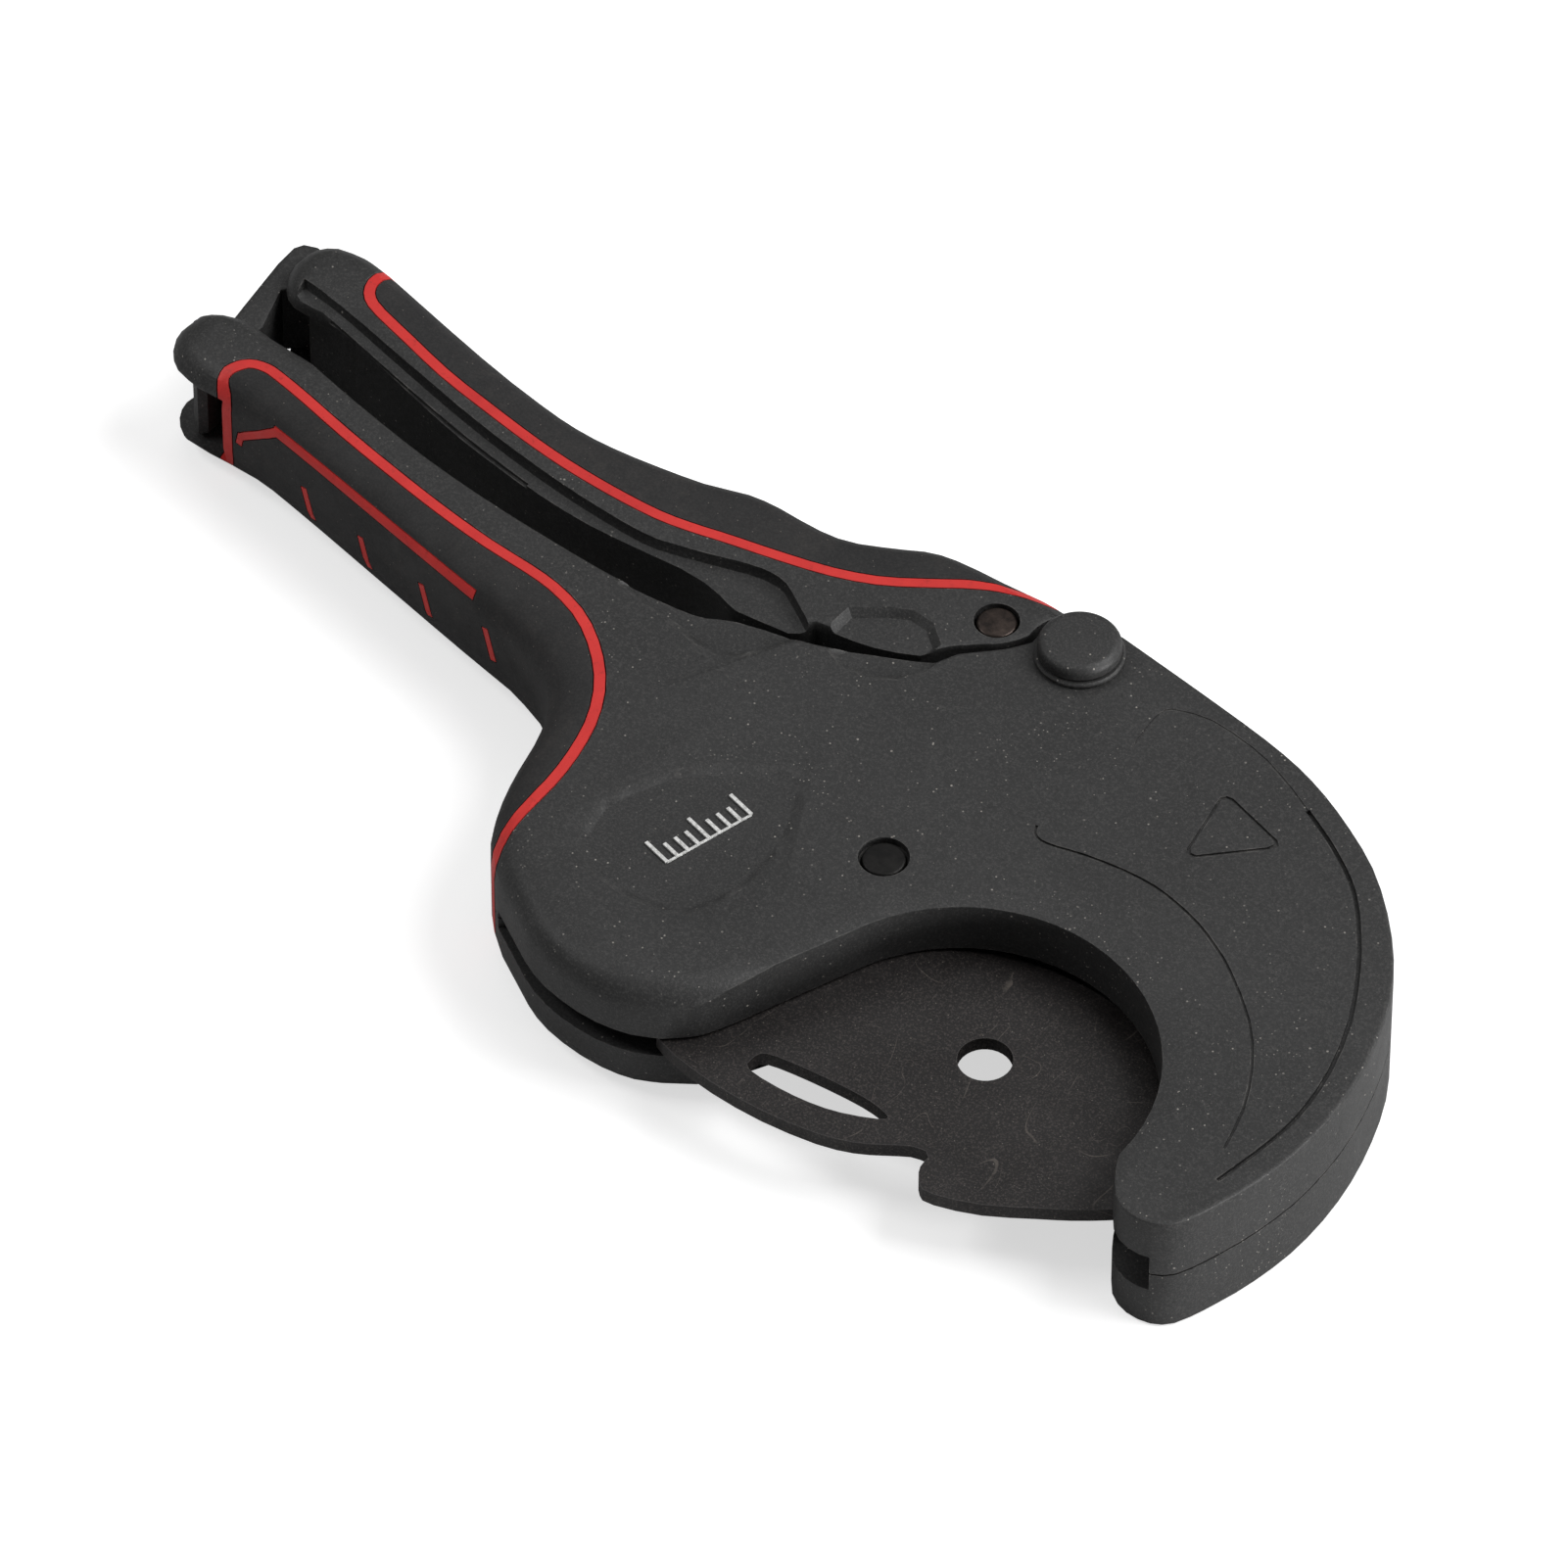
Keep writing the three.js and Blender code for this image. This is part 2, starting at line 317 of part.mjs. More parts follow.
// ---- blade, drawn about its own pin with the mouth closed ---------------------------------
function blade() {
  const at = ([x, y]) => [x + BLADE_PIN[0], y + BLADE_PIN[1]];
  const edge = spline([[12.8, 1.2], [16, 3], [20, 4.4], [25.7, 5.5], [31, 6.7], [36.7, 7.3], [43, 7.1],
    [50, 5.5], [56, 2.6], [62, -1.6], [68, -7], [73, -12.4], [78.2, -17.6]], 26);
  const hub = arc([0, 0], 13, 118, 10, 10);
  const teeth = [];
  for (let i = 0; i < TOOTH_COUNT; i += 1) {
    const start = TOOTH_START + i * TOOTH_PITCH;
    teeth.push(polar([0, 0], TOOTH_TIP, start), polar([0, 0], TOOTH_ROOT, start + TOOTH_PITCH - 0.8));
  }
  const back = spline([[-10.6, -45.9], [-6, -47.2], [2.7, -48], [12.7, -47.6], [22.7, -45.8], [28.7, -43.5],
    [32.7, -40.9], [36.4, -38.3], [39, -37.6]], 16);
  const hook = spline([[40.1, -38.4], [40.4, -41], [42.2, -43.4], [44.8, -44.2], [52.7, -41], [60.7, -35.6],
    [65.7, -32], [71, -27.4], [75.6, -22.4], [78.2, -17.6]], 20);
  const outline = [...hub, ...edge, ...hook.slice(0, -1).reverse(), ...back.slice().reverse(),
    ...teeth.reverse()];
  const ground = [[12.8, 60], ...edge, [110, -40], [110, -90], [-90, -90], [-90, 60]].slice(1);
  const shape = new THREE.Shape(ground.map(p => new THREE.Vector2(...at(p))));
  const wedge = new THREE.ExtrudeGeometry(shape, {
    depth: 0.3, steps: 1, bevelThickness: BLADE_HALF - 0.15,
    bevelSize: 4.2, bevelOffset: -4.2, bevelSegments: 1,
  });
  wedge.translate(0, 0, -0.15);
  const drain = spline([[4.6, -39.7], [5.7, -37.6], [12.7, -36.1], [22.7, -35], [28.2, -35.3], [29.4, -36.6],
    [22.2, -40.2], [14.2, -41.9], [5.6, -42], [4.6, -39.7]], 26).slice(0, -1);
  return plate(outline.map(at), -BLADE_HALF, BLADE_HALF).intersect(solid(wedge))
    .subtract(disc(BLADE_PIN, 3.95, -5, 5)).subtract(disc(at([34.2, -16.2]), 4.6, -5, 5, 32))
    .subtract(plate(drain.map(at), -5, 5));
}
part('cutting_blade', blade(), bladeBlack);
part('blade_pivot_pin', turned(BLADE_PIN, [[0, -12.3], [3.4, -12.3], [3.7, -12], [3.7, 12], [3.4, 12.3],
  [0, 12.3]], 28), pinSteel);
part('blade_spacer', ring(BLADE_PIN, 4, 9, -3.7, -1.65), pinSteel);

// Coil with straight legs: wire swept along a helix about a pin.
function coil(centre, radius, wire, turns, zMid, pitch, from, legs) {
  const points = [];
  const legPoint = (deg, length, z) => {
    const [x, y] = polar(centre, radius, deg), t = rad(deg + (length < 0 ? -90 : 90));
    return new THREE.Vector3(x + Math.abs(length) * Math.cos(t), y + Math.abs(length) * Math.sin(t), z);
  };
  const steps = Math.round(turns * 16), z0 = zMid - turns * pitch / 2;
  points.push(legPoint(from, -legs, z0));
  for (let i = 0; i <= steps; i += 1) {
    const deg = from + 360 * turns * i / steps;
    points.push(new THREE.Vector3(...polar(centre, radius, deg), z0 + turns * pitch * i / steps));
  }
  points.push(legPoint(from + 360 * turns, legs, z0 + turns * pitch));
  const path = new THREE.CatmullRomCurve3(points);
  const hexagon = arc([0, 0], wire, 0, 360, 6).slice(0, -1);
  const section = new THREE.Shape(hexagon.map(p => new THREE.Vector2(...p)));
  const sweep = { steps: Math.round(steps * 1.2), bevelEnabled: false, extrudePath: path };
  return solid(new THREE.ExtrudeGeometry(section, sweep));
}
part('blade_return_spring', coil(BLADE_PIN, 6.2, 0.45, 1.4, 2.75, 1.0, 40, 6), springSteel);

// ---- pawls --------------------------------------------------------------------------------
const pawl = (pin, tip, hubRadius, waist, bore) => {
  const length = Math.hypot(tip[0] - pin[0], tip[1] - pin[1]);
  const along = Math.atan2(tip[1] - pin[1], tip[0] - pin[0]) * 180 / Math.PI;
  const place = (forward, left) => {
    const [x, y] = polar(pin, forward, along);
    return polar([x, y], left, along + 90);
  };
  const outline = [place(0, hubRadius * 0.9), place(length * 0.55, waist), place(length, 0),
    place(length - 0.6, -2.4), place(length * 0.6, -waist - 0.4), place(0, -hubRadius * 0.9)];
  return plate(outline.reverse(), -1.6, 1.6)
    .add(disc(pin, hubRadius, -1.6, 1.6, 24)).subtract(disc(pin, bore, -3, 3, 24));
};
const driveTip = polar(BLADE_PIN, TOOTH_TIP + 0.6, 147);
const holdTip = polar(BLADE_PIN, TOOTH_TIP + 0.6, 157);
part('drive_pawl', pawl(DRIVE_PIN, driveTip, 4.8, 2.6, 3.6), pinSteel);
part('drive_pawl_pin', turned(DRIVE_PIN, [[0, -12.4], [3.1, -12.4], [3.45, -12.1],
  [3.45, 12.1], [3.1, 12.4], [0, 12.4]], 28), pinSteel);
part('drive_pawl_spring', coil(DRIVE_PIN, 4.15, 0.35, 1.25, 2.75, 0.8, 150, 2), springSteel);
part('holding_pawl', pawl(HOLD_PIN, holdTip, 2.8, 1.5, 1.7), pinSteel);
part('holding_pawl_pin', disc(HOLD_PIN, 1.4, -7.8, 7.8, 16), pinSteel);
part('holding_pawl_spring', coil(HOLD_PIN, 2.2, 0.3, 1.4, 2.6, 0.7, 60, 3), springSteel);

// ---- main pivot ---------------------------------------------------------------------------
part('main_pivot_bolt', turned([0, 0], [[0, -12], [3.3, -12], [3.6, -11.7], [3.6, 13.95], [6.8, 13.95],
  [7.1, 14.3], [7.05, 15.2], [6.6, 16.2], [5.7, 16.75], [0, 16.75]], 32), castBlack);
part('main_pivot_washer', turned([0, 0], [[4, 12.85], [7.5, 12.85], [7.7, 13.05], [7.7, 13.5], [7.4, 13.8],
  [4, 13.8], [4, 12.85]], 32), castBlack);
const nut = plate(arc([0, 0], 6.8, 0, 360, 6).slice(0, -1), -12.3, -7.8, 0.6, 1);
part('main_pivot_nut', nut.subtract(disc([0, 0], 3.75, -20, 0)), pinSteel);
part('handle_return_spring', coil([0, 0], 5.5, 0.5, 1.4, 2.55, 0.85, 200, 1.2), springSteel);

// ---- latch --------------------------------------------------------------------------------
const latchSide = [[-165.5, -6.4], [-165.2, -11], [-163.3, -22], [-161.8, -30], [-161.4, -36],
  [-160.4, -38.8], [-158.8, -39.6], [-157.6, -38.4], [-157.6, -32], [-157.2, -24], [-160.4, -15.4],
  [-158.8, -13.6], [-155.6, -12.4], [-154.3, -9.6], [-155, -6.4], [-157.6, -4.2], [-162.2, -3.6],
  [-164.6, -4.6]];
const latch = plate(latchSide, -7.6, 7.6, 0.8, 2).subtract(disc(LATCH_PIN, 2.2, -20, 20, 20));
part('latch_strap', latch, castBlack);
part('latch_pin', disc(LATCH_PIN, 1.95, -9.8, 9.8, 16), pinSteel);
part('latch_stop_pin', disc(STOP_PIN, 1.95, -9.8, 9.8, 16), pinSteel);

// ---- screws from the underside, heads below the surface -----------------------------------
SHELL_SCREWS.forEach((p, i) => {
  const head = turned(p, [[0, -11.6], [2.5, -11.6], [2.8, -11.3], [2.8, -7.7], [1.5, -7.7], [1.5, 7.6],
    [0, 7.6]], 20);
  part(`shell_screw_${i + 1}`, head.subtract(plate(arc(p, 1.5, 0, 360, 6).slice(0, -1), -13, -9.6)),
    pinSteel);
});

// White graduations printed in the palm recess: a long mark, then shorter ones.
const SCALE = { start: [-20.2, -61.4], step: [-0.52, -2.1], count: 9 };
const marks = Array.from({ length: SCALE.count }, (_, i) => {
  const x = SCALE.start[0] + i * SCALE.step[0], y = SCALE.start[1] + i * SCALE.step[1];
  const reach = i % 4 ? 3.4 : 5.4;
  return bar([x, y], [x - reach, y + reach * 0.22], 0.32, HALF - 0.65, HALF - 0.3);
});
// One thin sheet of print lies under the marks and holds them together as one piece.
const lastMark = SCALE.start.map((value, axis) => value + (SCALE.count - 1) * SCALE.step[axis]);
const spine = bar(SCALE.start, lastMark, 0.2, HALF - 0.65, HALF - 0.45);
part('printed_scale', union([spine, ...marks]), markWhite);

// ---- rest plane ---------------------------------------------------------------------------
const box = new THREE.Box3().setFromObject(group);
for (const node of group.children) {
  node.geometry.translate(-(box.min.x + box.max.x) / 2, -(box.min.y + box.max.y) / 2, -box.min.z);
}
export default group;
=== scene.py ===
# Looks of the pipe cutter: camera, studio, materials, and the round pieces turned finer than in CAD.
import json
import math

import bmesh
import bpy
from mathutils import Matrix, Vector


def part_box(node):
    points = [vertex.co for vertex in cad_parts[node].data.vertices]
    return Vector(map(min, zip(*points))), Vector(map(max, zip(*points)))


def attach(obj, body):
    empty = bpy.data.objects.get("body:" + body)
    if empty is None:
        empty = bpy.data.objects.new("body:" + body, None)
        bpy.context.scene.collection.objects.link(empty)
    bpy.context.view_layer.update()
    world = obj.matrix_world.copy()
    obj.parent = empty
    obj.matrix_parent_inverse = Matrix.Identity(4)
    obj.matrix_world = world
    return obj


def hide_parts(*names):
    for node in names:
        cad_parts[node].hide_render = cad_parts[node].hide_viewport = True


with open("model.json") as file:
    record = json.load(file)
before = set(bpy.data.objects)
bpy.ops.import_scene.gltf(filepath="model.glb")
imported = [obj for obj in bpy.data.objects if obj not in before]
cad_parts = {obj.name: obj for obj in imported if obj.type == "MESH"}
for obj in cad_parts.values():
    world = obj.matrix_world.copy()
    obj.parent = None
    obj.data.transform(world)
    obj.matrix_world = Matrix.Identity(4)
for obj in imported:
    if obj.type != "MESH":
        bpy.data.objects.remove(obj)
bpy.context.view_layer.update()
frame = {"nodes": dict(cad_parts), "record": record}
NODES = frame["nodes"]
MM = 0.001

# ---- camera ------------------------------------------------------------------------------------
AZIMUTH, ELEVATION, FIELD = 39.0, 48.0, 6.0      # degrees
LOOK_AT = Vector((16.16, -4.58, 25.51)) * MM
DISTANCE = 2.46
SENSOR = 36                                      # millimetres, as the lens is


def direction(azimuth, elevation):
    a, e = math.radians(azimuth), math.radians(elevation)
    return Vector((math.sin(a) * math.cos(e), -math.cos(a) * math.cos(e), math.sin(e)))


def make_camera():
    data = bpy.data.cameras.new("camera")
    data.sensor_width = SENSOR
    data.lens = SENSOR / 2 / math.tan(math.radians(FIELD / 2))
    data.clip_start, data.clip_end = 0.05, 50
    camera = bpy.data.objects.new("camera", data)
    bpy.context.scene.collection.objects.link(camera)
    back = direction(AZIMUTH, ELEVATION)
    camera.location = LOOK_AT + back * DISTANCE
    camera.rotation_euler = (-back).to_track_quat("-Z", "Y").to_euler()
    bpy.context.scene.camera = camera


make_camera()
bpy.context.scene.view_settings.view_transform = "Standard"


# ---- materials ---------------------------------------------------------------------------------
SEED_STEPS = (0.37, 0.61, 0.83)       # metres that one seed moves the noise along each axis
RIM_TURN = (0.02, 0.25)               # 1 - cosine of the turn where a rim starts, and where it is full


def srgb(red, green, blue):
    """Linear colour with alpha from 0-255 values."""
    def linear(c):
        c /= 255
        return c / 12.92 if c <= 0.04045 else ((c + 0.055) / 1.055) ** 2.4
    return (linear(red), linear(green), linear(blue), 1)


class Finish:
    """A material under construction: each method adds nodes and returns an output socket."""

    def __init__(self, name, roughness=0.5, metallic=0.0, specular=0.5):
        self.material = bpy.data.materials.new(name)
        self.material.use_nodes = True
        self.tree = self.material.node_tree
        self.shader = self.tree.nodes["Principled BSDF"]
        self.shader.inputs["Roughness"].default_value = roughness
        self.shader.inputs["Metallic"].default_value = metallic
        self.shader.inputs["Specular IOR Level"].default_value = specular
        self.place = self.add("TexCoord").outputs["Object"]
        self.normal = None

    def add(self, kind, inputs=None, **settings):
        node = self.tree.nodes.new("ShaderNode" + kind)
        for key, value in settings.items():
            setattr(node, key, value)
        for key, value in (inputs or {}).items():
            self.put(node.inputs[key], value)
        return node

    def put(self, socket, value):
        if isinstance(value, bpy.types.NodeSocket):
            self.tree.links.new(value, socket)
        else:
            socket.default_value = value

    def moved(self, location, stretch=None):
        """The surface point, scaled and then moved by metres."""
        inputs = {"Vector": self.place, "Location": location, "Scale": stretch or (1, 1, 1)}
        return self.add("Mapping", inputs).outputs["Vector"]

    def noise(self, size, detail=3, rough=0.6, stretch=None, seed=0):
        """Noise around 0.5, with size in mm for one feature; each seed shows another part of it."""
        place = self.place
        if seed or stretch:
            place = self.moved([seed * step for step in SEED_STEPS], stretch)
        inputs = {"Vector": place, "Scale": 1 / (size * MM), "Detail": detail, "Roughness": rough}
        return self.add("TexNoise", inputs).outputs["Fac"]

    def ramp(self, value, first, last):
        """Straight change between two stops of (position, level)."""
        node = self.add("ValToRGB", {"Fac": value})
        for element, (position, level) in zip(node.color_ramp.elements, (first, last)):
            element.position = position
            element.color = (level, level, level, 1)
        return node.outputs["Color"]

    def rise(self, value, low, high, top=1.0):
        """0 up to low, then straight up to top at high."""
        return self.ramp(value, (low, 0.0), (high, top))

    def math(self, kind, a, b=0.0):
        return self.add("Math", {0: a, 1: b}, operation=kind).outputs[0]

    def mix(self, factor, a, b):
        node = self.add("Mix", data_type="RGBA")
        self.put(node.inputs["Factor"], factor)
        self.put(node.inputs[6], a)
        self.put(node.inputs[7], b)
        return node.outputs[2]

    def lay(self, tone, mask, strength, colour):
        """The tone with a colour over it, where mask is 1 and as strongly as strength."""
        return self.mix(self.math("MULTIPLY", mask, strength), tone, colour)

    def specks(self, cell, share, size, seed):
        """Sparse round specks: one in the middle of some Voronoi cells, as a mask."""
        inputs = {"Vector": self.moved((seed, seed * 0.7, seed * 0.3)), "Scale": 1 / (cell * MM)}
        node = self.add("TexVoronoi", inputs, feature="F1")
        near = self.math("LESS_THAN", node.outputs["Distance"], size)
        red = self.add("SeparateColor", {0: node.outputs["Color"]}).outputs[0]
        return self.math("MULTIPLY", near, self.math("LESS_THAN", red, share))

    def hairs(self, cell, seed, width):
        """Long thin wandering scratches, as a mask: the middle line of a stretched noise, in patches."""
        field = self.noise(cell, 1, 0.4, stretch=(1, 0.5, 1), seed=seed)
        off_line = self.math("ABSOLUTE", self.math("SUBTRACT", field, 0.5))
        line = self.math("LESS_THAN", off_line, width / 2)
        return self.math("MULTIPLY", line, self.rise(self.noise(cell * 0.8, seed=seed + 2), 0.5, 0.6))

    def bump(self, height, depth):
        """Adds relief: height 0-1 over depth in mm."""
        inputs = {"Height": height, "Distance": depth * MM, "Strength": 1.0}
        if self.normal is not None:
            inputs["Normal"] = self.normal
        self.normal = self.add("Bump", inputs).outputs["Normal"]

    def edges(self, radius):
        """1 on rims and corners within radius mm, 0 on open surface."""
        soft = self.add("Bevel", {"Radius": radius * MM}, samples=6).outputs["Normal"]
        hard = self.add("NewGeometry").outputs["True Normal"]
        dot = self.add("VectorMath", {0: soft, 1: hard}, operation="DOT_PRODUCT").outputs["Value"]
        return self.rise(self.math("SUBTRACT", 1.0, dot), *RIM_TURN)

    def done(self, colour, roughness=None):
        self.put(self.shader.inputs["Base Color"], colour)
        if roughness is not None:
            self.put(self.shader.inputs["Roughness"], roughness)
        if self.normal is not None:
            self.put(self.shader.inputs["Normal"], self.normal)
        return self.material


def powder_coat(name):
    """Black powder coat on a casting: sandy grain, drift of tone, pits, lighter rims (rubbed wear and painted
    highlight), scuffs and dust.
    """
    f = Finish(name, specular=0.45)
    grain = f.noise(0.42, rough=0.8)
    drift = f.rise(f.noise(24, 4, seed=3), 0.35, 0.68)
    tone = f.mix(drift, srgb(36, 36, 36), srgb(43, 43, 43))
    tone = f.lay(tone, f.rise(grain, 0.48, 0.66), 0.55, srgb(78, 77, 76))
    pits = f.ramp(f.noise(0.55, 2, 0.7, seed=15), (0.34, 1.0), (0.42, 0.0))
    tone = f.lay(tone, pits, 0.5, srgb(22, 22, 22))
    # Rims lighter in patches: partly rubbed wear, partly a painted highlight in place of light caught by
    # rounded edges.
    rubbed_rims_and_painted_highlight = f.math("MULTIPLY", f.edges(0.45), f.rise(f.noise(4, 4, 0.7, seed=5), 0.46, 0.7))
    tone = f.lay(tone, rubbed_rims_and_painted_highlight, 0.75, srgb(122, 119, 116))
    streaks = f.rise(f.noise(1.1, 5, 0.8, stretch=(1, 0.35, 1), seed=11), 0.66, 0.74)
    scuffs = f.math("MULTIPLY", streaks, f.rise(f.noise(17, seed=12), 0.52, 0.66))
    tone = f.lay(tone, scuffs, 0.5, srgb(104, 101, 98))
    dusty = f.ramp(f.noise(13, 4, 0.65, seed=16), (0.42, 0.12), (0.62, 1.0))
    lint = f.math("MAXIMUM", f.specks(1.1, 0.22, 0.15, seed=2), f.specks(3.1, 0.4, 0.065, seed=7))
    clusters = f.math("MULTIPLY", f.specks(0.7, 0.26, 0.17, seed=4), f.rise(f.noise(26, seed=14), 0.54, 0.66))
    dust = f.math("MAXIMUM", f.math("MULTIPLY", lint, dusty), clusters)
    tone = f.lay(tone, dust, 0.7, srgb(168, 163, 156))
    f.bump(grain, 0.035)
    f.bump(f.noise(1.3, rough=0.5, seed=1), 0.018)
    return f.done(tone, f.ramp(f.noise(9, 4, 0.65, seed=9), (0.3, 0.47), (0.7, 0.6)))


def rubber(name):
    """Moulded rubber: darker and duller than the casting, with a bloom of fine dust."""
    f = Finish(name, specular=0.36)
    grain = f.noise(0.45, rough=0.8)
    drift = f.rise(f.noise(18, 4, seed=2), 0.35, 0.7)
    tone = f.mix(drift, srgb(31, 31, 32), srgb(40, 39, 39))
    tone = f.lay(tone, f.rise(grain, 0.42, 0.78), 0.28, srgb(80, 78, 76))
    bloom = f.math("MULTIPLY", f.rise(f.noise(6, 5, 0.75, seed=13), 0.52, 0.75), grain)
    tone = f.lay(tone, bloom, 0.35, srgb(86, 80, 76))
    tone = f.lay(tone, f.specks(0.9, 0.24, 0.11, seed=4), 0.5, srgb(138, 131, 122))
    # Rims a little lighter everywhere: a painted highlight on the edges, partly wear.
    tone = f.lay(tone, f.edges(0.5), 0.2, srgb(78, 76, 74))
    f.bump(grain, 0.024)
    f.bump(f.noise(1.1, rough=0.55, seed=6), 0.02)
    return f.done(tone, f.ramp(f.noise(7, 4, seed=8), (0.3, 0.6), (0.7, 0.76)))


def red_plastic(name):
    """Red moulded seam: darker along its rims, patches of dark dirt, fine grain."""
    f = Finish(name, specular=0.35)
    tone = f.mix(f.rise(f.noise(9, 4), 0.3, 0.7), srgb(196, 44, 43), srgb(214, 54, 50))
    tone = f.lay(tone, f.edges(0.3), 0.45, srgb(110, 24, 24))
    dirt = f.rise(f.noise(1.6, 5, 0.75, seed=4), 0.56, 0.72)
    tone = f.lay(tone, dirt, 0.4, srgb(120, 34, 32))
    tone = f.lay(tone, f.specks(1.4, 0.22, 0.09, seed=3), 0.5, srgb(96, 50, 46))
    f.bump(f.noise(0.3), 0.012)
    return f.done(tone, f.ramp(f.noise(4, seed=2), (0.3, 0.44), (0.7, 0.6)))


def coated_blade(name, pin):
    """Speckled black coating with arc scratches round the blade pin and loose hair-like ones."""
    f = Finish(name, metallic=0.15, specular=0.4)
    pin_axis = (pin.x, pin.y, 0)
    offset = f.add("VectorMath", {0: f.place, 1: pin_axis}, operation="SUBTRACT").outputs["Vector"]
    flat = f.add("VectorMath", {0: offset, 1: (1, 1, 0)}, operation="MULTIPLY").outputs["Vector"]
    radius = f.add("VectorMath", {0: flat}, operation="LENGTH").outputs["Value"]
    grain = f.noise(0.4, rough=0.85)
    drift = f.rise(f.noise(14, 5, seed=3), 0.35, 0.7)
    tone = f.mix(drift, srgb(26, 24, 24), srgb(35, 33, 33))
    tone = f.lay(tone, f.rise(grain, 0.5, 0.68), 0.5, srgb(98, 91, 88))
    ring_count = {"W": f.math("MULTIPLY", radius, 2.6 / MM), "Scale": 1.0, "Detail": 2}
    rings = f.add("TexNoise", ring_count, noise_dimensions="1D").outputs["Fac"]
    ring_patches = f.rise(f.noise(9, 4, seed=7), 0.52, 0.64, 0.6)
    arcs = f.math("MULTIPLY", f.rise(rings, 0.66, 0.7), ring_patches)
    hairs = f.math("MAXIMUM", f.hairs(15, 21, 0.004), f.hairs(9, 34, 0.004))
    marks = f.math("MAXIMUM", f.math("MULTIPLY", arcs, 0.5), hairs)
    tone = f.lay(tone, marks, 0.36, srgb(118, 110, 103))
    tone = f.lay(tone, f.specks(0.8, 0.2, 0.12, seed=6), 0.5, srgb(150, 144, 134))
    # Rims lighter: a painted highlight on the edges, partly worn coating.
    tone = f.lay(tone, f.edges(0.35), 0.5, srgb(98, 95, 94))
    f.bump(grain, 0.02)
    f.bump(f.math("SUBTRACT", 1.0, marks), 0.01)
    return f.done(tone, f.ramp(f.noise(5, 4, seed=4), (0.3, 0.46), (0.7, 0.62)))


def turned_steel(name, dark, light, rim, roughness):
    """Steel turned on a lathe: fine rings, blued patches, bright rims; roughness from low to high."""
    f = Finish(name, metallic=0.85)
    tone = f.mix(f.rise(f.noise(2.2, 5, 0.7), 0.35, 0.7), srgb(*dark), srgb(*light))
    tone = f.lay(tone, f.edges(0.25), 0.75, srgb(*rim))
    spots = f.rise(f.noise(0.5, 4, 0.7, seed=2), 0.6, 0.7)
    tone = f.lay(tone, spots, 0.5, srgb(*[level * 0.7 for level in dark]))
    f.bump(f.noise(0.4, 4, stretch=(1, 1, 0.2)), 0.012)
    return f.done(tone, f.ramp(f.noise(1.8, 4, seed=5), (0.3, roughness[0]), (0.7, roughness[1])))


def ink(name):
    """Pad-printed white, thin in places."""
    f = Finish(name)
    tone = f.mix(f.rise(f.noise(0.6, 4, 0.7), 0.32, 0.58), srgb(158, 158, 156), srgb(222, 222, 220))
    f.bump(f.noise(0.3), 0.01)
    return f.done(tone, f.ramp(f.noise(0.8, seed=2), (0.3, 0.5), (0.7, 0.65)))


def middle(node):
    low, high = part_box(node)
    return (low + high) / 2


LOOKS = {
    "cast_black": powder_coat("powder_coated_casting"),
    "grip_rubber": rubber("grip_rubber"),
    "red_rubber": red_plastic("red_trim"),
    "coated_blade": coated_blade("coated_blade", middle("blade_pivot_pin")),
    "pin_steel": turned_steel("burnished_steel", (40, 35, 33), (74, 64, 59), (168, 156, 146), (0.26, 0.44)),
    "spring_steel": turned_steel("spring_steel", (120, 118, 114), (168, 166, 160), (190, 188, 182),
                                 (0.22, 0.38)),
    "white_ink": ink("white_ink"),
}
# The pin beside the mouth is blacked like the casting; the one at the handle's head shows bronze.
LOOK_OF = {
    "blade_pivot_pin": turned_steel("blacked_pin", (30, 30, 30), (44, 43, 42), (112, 110, 108), (0.4, 0.55)),
}
SLOT_OF = {part["node"]: part["material_slot"] for part in frame["record"]["subparts"]}
BODY_OF = {node: body for body, nodes in frame["record"]["behaviour"]["bodies"].items() for node in nodes}


def look(node):
    return LOOK_OF.get(node, LOOKS[SLOT_OF[node]])


# ---- CAD nodes that stay: joined faces, smooth shading, a real finish ----------------------------
CREASE = math.radians(34)             # edges sharper than this stay hard


def shade(thing):
    thing.modifiers.new("creases", "EDGE_SPLIT").split_angle = CREASE
    thing.modifiers.new("even_shading", "WEIGHTED_NORMAL").keep_sharp = True


def dress(node):
    thing = NODES[node]
    for slot in thing.material_slots:
        slot.material = look(node)
    if "custom_normal" in thing.data.attributes:
        thing.data.attributes.remove(thing.data.attributes["custom_normal"])
    thing.data.polygons.foreach_set("use_smooth", [True] * len(thing.data.polygons))
    thing.modifiers.new("weld", "WELD").merge_threshold = 0.002 * MM
    shade(thing)


for name in NODES:
    dress(name)


# ---- round pieces turned finer than their CAD nodes ----------------------------------------------
SEGMENTS = 96


def rounded(radius, height, rim, steps=6):
    """Quarter-round outer rim in (radius, height), from its inner end on the face to the side; mm."""
    turns = [math.radians(90 * i / steps) for i in range(steps + 1)]
    return [(radius - rim + rim * math.sin(a), height - rim + rim * math.cos(a)) for a in turns]


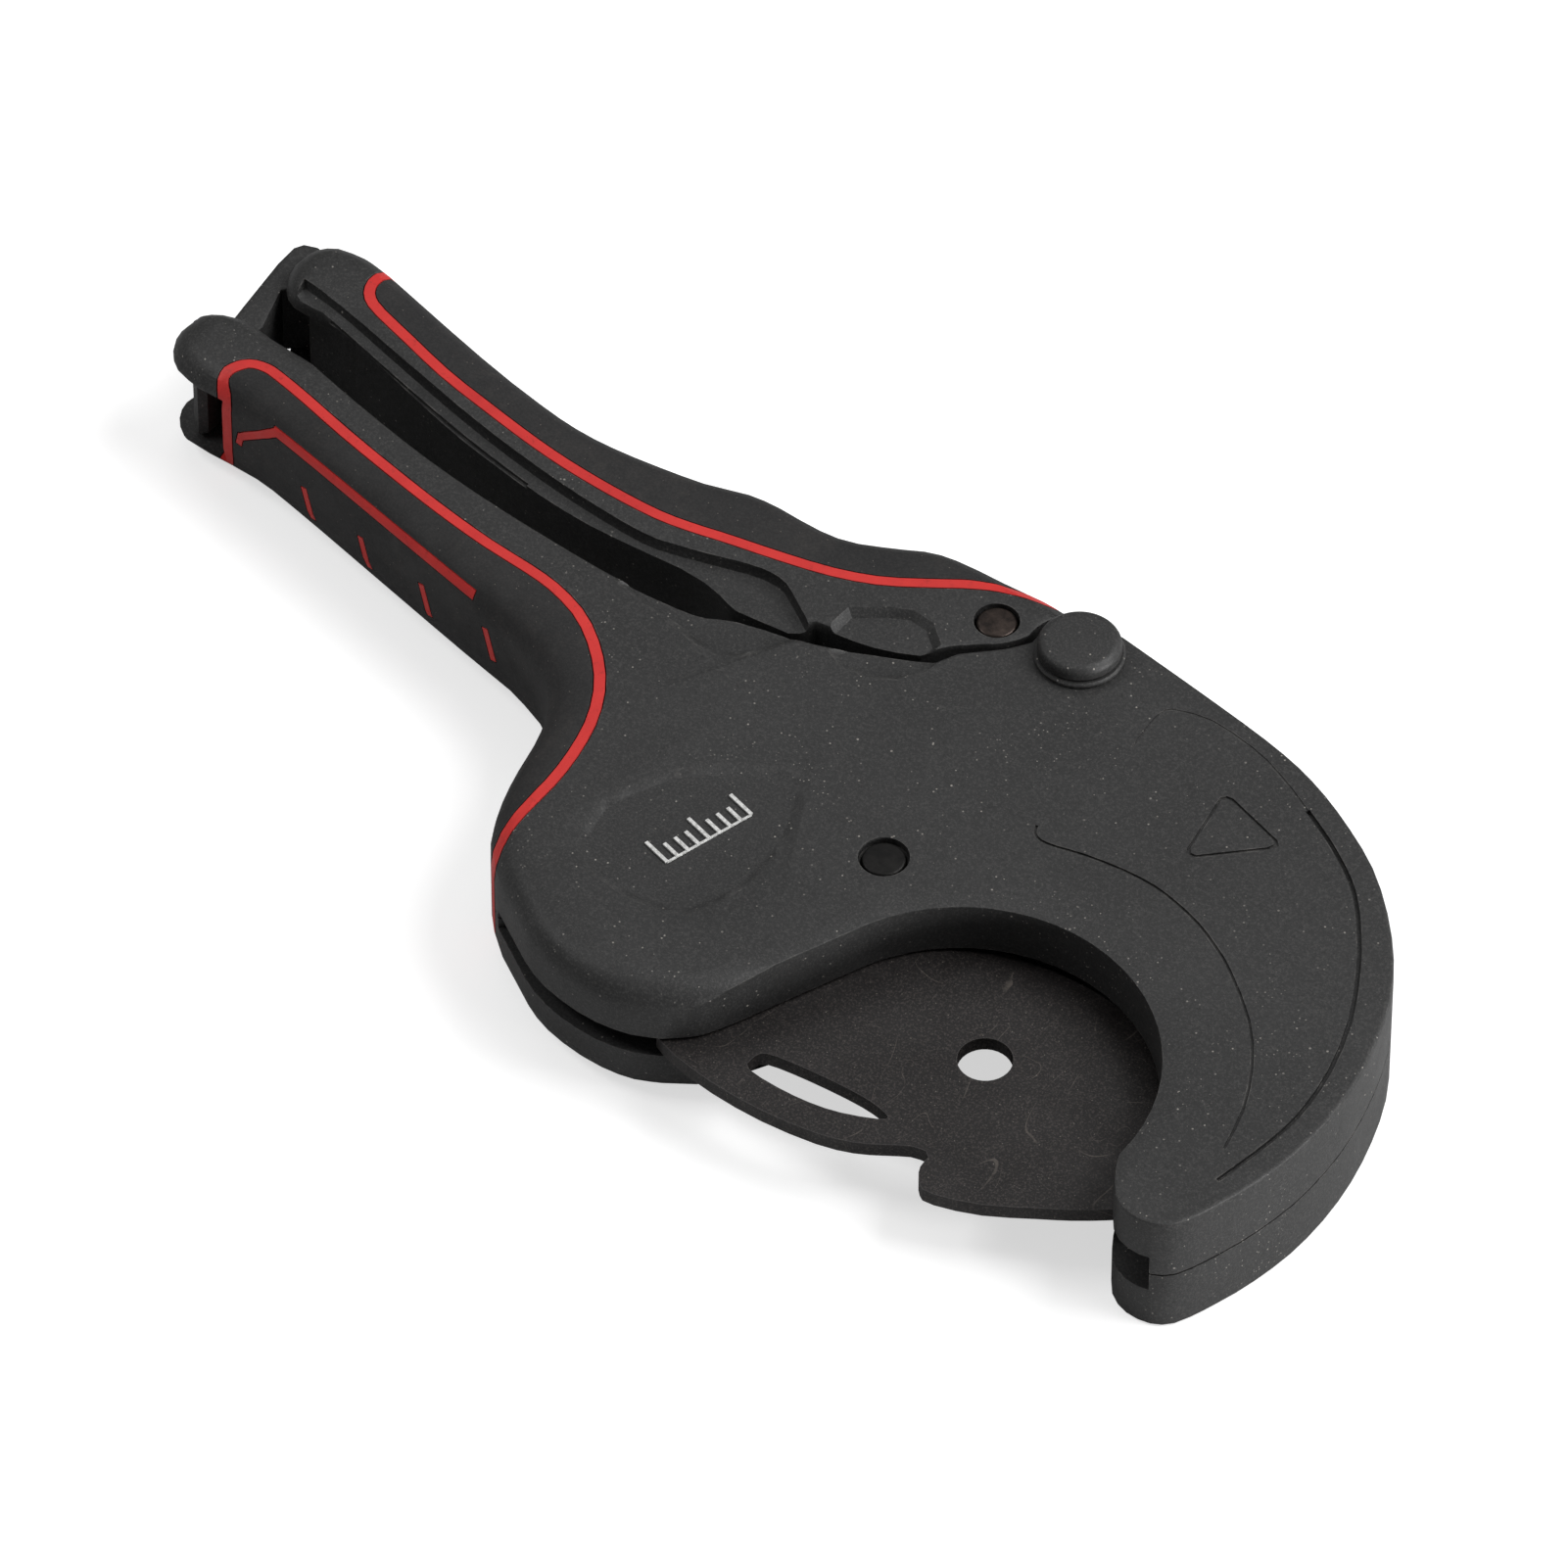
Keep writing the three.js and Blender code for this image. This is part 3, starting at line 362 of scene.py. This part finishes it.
def lathe(node, profile):
    """Replaces a round node: profile of (radius, height above the node's top), from axis to axis; mm."""
    centre, top = middle(node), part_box(node)[1].z
    angles = [2 * math.pi * i / SEGMENTS for i in range(SEGMENTS)]
    bm = bmesh.new()
    rings = []
    for radius, height in profile:
        spots = [(0, 0)]
        if radius:
            spots = [(radius * MM * math.cos(a), radius * MM * math.sin(a)) for a in angles]
        rings.append([bm.verts.new((centre.x + x, centre.y + y, top + height * MM)) for x, y in spots])
    for upper, lower in zip(rings, rings[1:]):
        for i in range(SEGMENTS):
            j = (i + 1) % SEGMENTS
            corners = [upper[i % len(upper)], lower[i % len(lower)],
                       lower[j % len(lower)], upper[j % len(upper)]]
            bm.faces.new(list(dict.fromkeys(corners)))
    bmesh.ops.recalc_face_normals(bm, faces=bm.faces)
    mesh = bpy.data.meshes.new(node + "_turned")
    bm.to_mesh(mesh)
    bm.free()
    mesh.shade_smooth()
    mesh.materials.append(look(node))
    piece = bpy.data.objects.new(node + "_turned", mesh)
    bpy.context.scene.collection.objects.link(piece)
    shade(piece)
    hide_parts(node)
    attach(piece, BODY_OF[node])


def pin(node, radius):
    low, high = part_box(node)
    length = (high.z - low.z) / MM
    rim = rounded(radius, 0, 0.5)
    lathe(node, [(0, 0)] + rim + [(r, -length - h) for r, h in reversed(rim)] + [(0, -length)])


# The bolt has a low mushroom head over a plain shank.
lathe("main_pivot_bolt", [(0, 0), (3.5, -0.02)] + rounded(7.1, -0.06, 1.55, 10)
      + [(7.1, -2.45), (6.85, -2.8), (3.6, -2.8), (3.6, -28.45), (3.3, -28.75), (0, -28.75)])
pin("blade_pivot_pin", 3.7)
pin("drive_pawl_pin", 3.45)


# ---- studio ------------------------------------------------------------------------------------
FLOOR_HALF = 12                       # metres
WORLD_STRENGTH = 0.13
# Each light: azimuth and elevation in degrees, distance and size in metres, power in watts.
LIGHTS = {
    "key": (126, 50, 1.5, (0.9, 0.9), 17.5),
    "side": (98, 5, 1.2, (0.5, 0.12), 10),
    "left": (-62, 50, 1.5, (0.5, 0.5), 5),
    "back": (215, 58, 1.8, (1.4, 1.0), 4),
}


def make_floor():
    """Pale floor that glows a little to the camera, and is plain to the light that bounces off it."""
    mesh = bpy.data.meshes.new("floor")
    bm = bmesh.new()
    bmesh.ops.create_grid(bm, x_segments=1, y_segments=1, size=FLOOR_HALF)
    bm.to_mesh(mesh)
    bm.free()
    floor = bpy.data.objects.new("floor", mesh)
    bpy.context.scene.collection.objects.link(floor)
    f = Finish("pale_floor", roughness=0.9, specular=0.1)
    mesh.materials.append(f.done(srgb(205, 205, 205)))
    seen = f.add("BsdfPrincipled", {"Base Color": srgb(215, 215, 215), "Roughness": 0.9,
                                    "Specular IOR Level": 0.1, "Emission Color": (1, 1, 1, 1),
                                    "Emission Strength": 0.62})
    to_camera = f.add("LightPath").outputs["Is Camera Ray"]
    choice = f.add("MixShader", {0: to_camera, 1: f.shader.outputs[0], 2: seen.outputs[0]})
    f.put(f.tree.nodes["Material Output"].inputs["Surface"], choice.outputs[0])


def make_world():
    world = bpy.data.worlds.new("studio")
    world.use_nodes = True
    background = world.node_tree.nodes["Background"]
    background.inputs["Color"].default_value = (1, 1, 1, 1)
    background.inputs["Strength"].default_value = WORLD_STRENGTH
    bpy.context.scene.world = world


def area_light(name, azimuth, elevation, distance, size, power):
    data = bpy.data.lights.new(name, "AREA")
    data.shape = "RECTANGLE"
    data.size, data.size_y = size
    data.energy = power
    light = bpy.data.objects.new(name, data)
    light.location = direction(azimuth, elevation) * distance
    light.rotation_euler = (-light.location).to_track_quat("-Z", "Y").to_euler()
    bpy.context.scene.collection.objects.link(light)


make_floor()
make_world()
for name, setting in LIGHTS.items():
    area_light(name, *setting)
